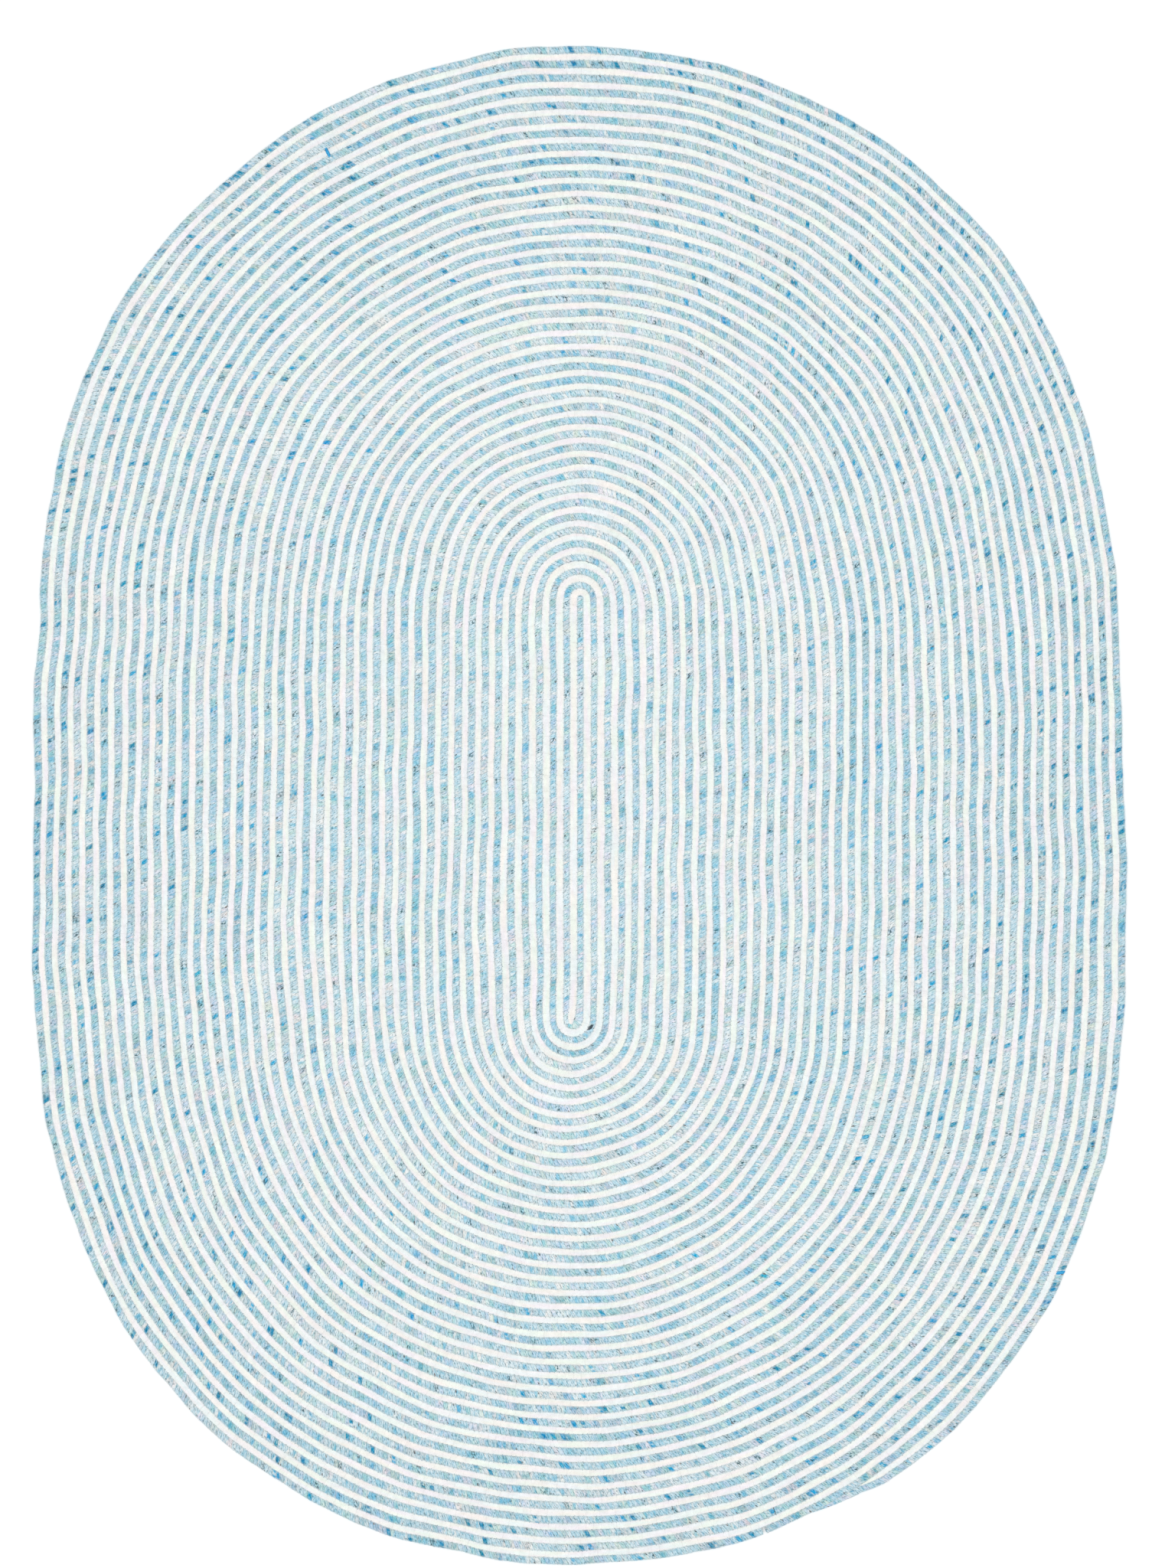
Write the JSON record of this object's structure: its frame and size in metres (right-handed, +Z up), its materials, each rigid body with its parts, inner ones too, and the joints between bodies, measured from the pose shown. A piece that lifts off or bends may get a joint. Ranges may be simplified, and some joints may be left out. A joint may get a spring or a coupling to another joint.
{
  "type": "oval braided rug",
  "caption": "Flat oval rug of a heathered blue roped cord and a smooth ivory cord, wound side by side around a straight core and sewn edge to edge, lying flat on the floor.",
  "frame": {"origin": "middle of the underside, on the floor", "axes": "+Z up out of the pile side, +Y along the rug's length towards the end where the blue cord starts, +X across the rug"},
  "size_m": [1.5242, 2.1192, 0.009],
  "materials": {
    "blue_yarn": "matt heathered pale blue roped yarn with azure, grey and dark flecks",
    "ivory_yarn": "matt smooth ivory yarn"
  },
  "bodies": {
    "root": {"blue_cord": "blue_yarn", "blue_edge_cord": "blue_yarn", "ivory_cord": "ivory_yarn", "ivory_outer_cord": "ivory_yarn"}
  },
  "joints": []
}
